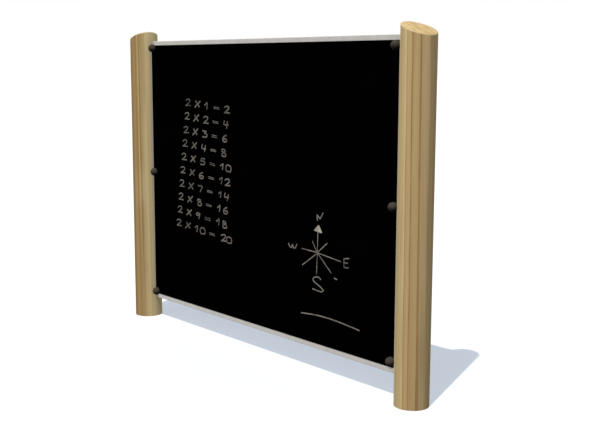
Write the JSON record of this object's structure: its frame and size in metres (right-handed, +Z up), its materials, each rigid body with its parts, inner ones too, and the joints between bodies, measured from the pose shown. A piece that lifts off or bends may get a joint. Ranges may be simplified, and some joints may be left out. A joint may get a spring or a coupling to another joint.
{
  "type": "in-ground chalkboard sign",
  "caption": "In-ground outdoor chalkboard: a black writing sheet on a pale backing board, bolted under domed caps to brackets on round timber posts with slanted tops.",
  "frame": {"origin": "on the ground line, midway between the two posts' axes", "axes": "+X along the board towards its right-hand post as the writing is read, +Y from the writing face to the back, +Z up"},
  "size_m": [1.792, 0.1219, 1.8906],
  "materials": {
    "post_wood": "debarked and turned softwood, long straight grain, oiled",
    "board_grey": "light grey high-pressure laminate, matt",
    "sheet_black": "black chalkboard laminate, dead matt, with traces of chalk",
    "cap_plastic": "dark moulded polyamide, fine satin grain",
    "stainless_steel": "plain stainless steel",
    "zinc_steel": "hot-dip galvanised steel, spangled and dull"
  },
  "bodies": {
    "root": {"left_post": "post_wood", "right_post": "post_wood", "backing_board": "board_grey", "writing_sheet": "sheet_black", "board_bolts": "stainless_steel", "nut_washers": "stainless_steel", "dome_nuts": "stainless_steel", "coach_screws": "zinc_steel", "coach_screw_washers": "zinc_steel", "left_top_bracket": "zinc_steel", "left_top_cap_base": "cap_plastic", "left_top_snap_cap": "cap_plastic", "left_middle_bracket": "zinc_steel", "left_middle_cap_base": "cap_plastic", "left_middle_snap_cap": "cap_plastic", "left_bottom_bracket": "zinc_steel", "left_bottom_cap_base": "cap_plastic", "left_bottom_snap_cap": "cap_plastic", "right_top_bracket": "zinc_steel", "right_top_cap_base": "cap_plastic", "right_top_snap_cap": "cap_plastic", "right_middle_bracket": "zinc_steel", "right_middle_cap_base": "cap_plastic", "right_middle_snap_cap": "cap_plastic", "right_bottom_bracket": "zinc_steel", "right_bottom_cap_base": "cap_plastic", "right_bottom_snap_cap": "cap_plastic"}
  },
  "joints": []
}
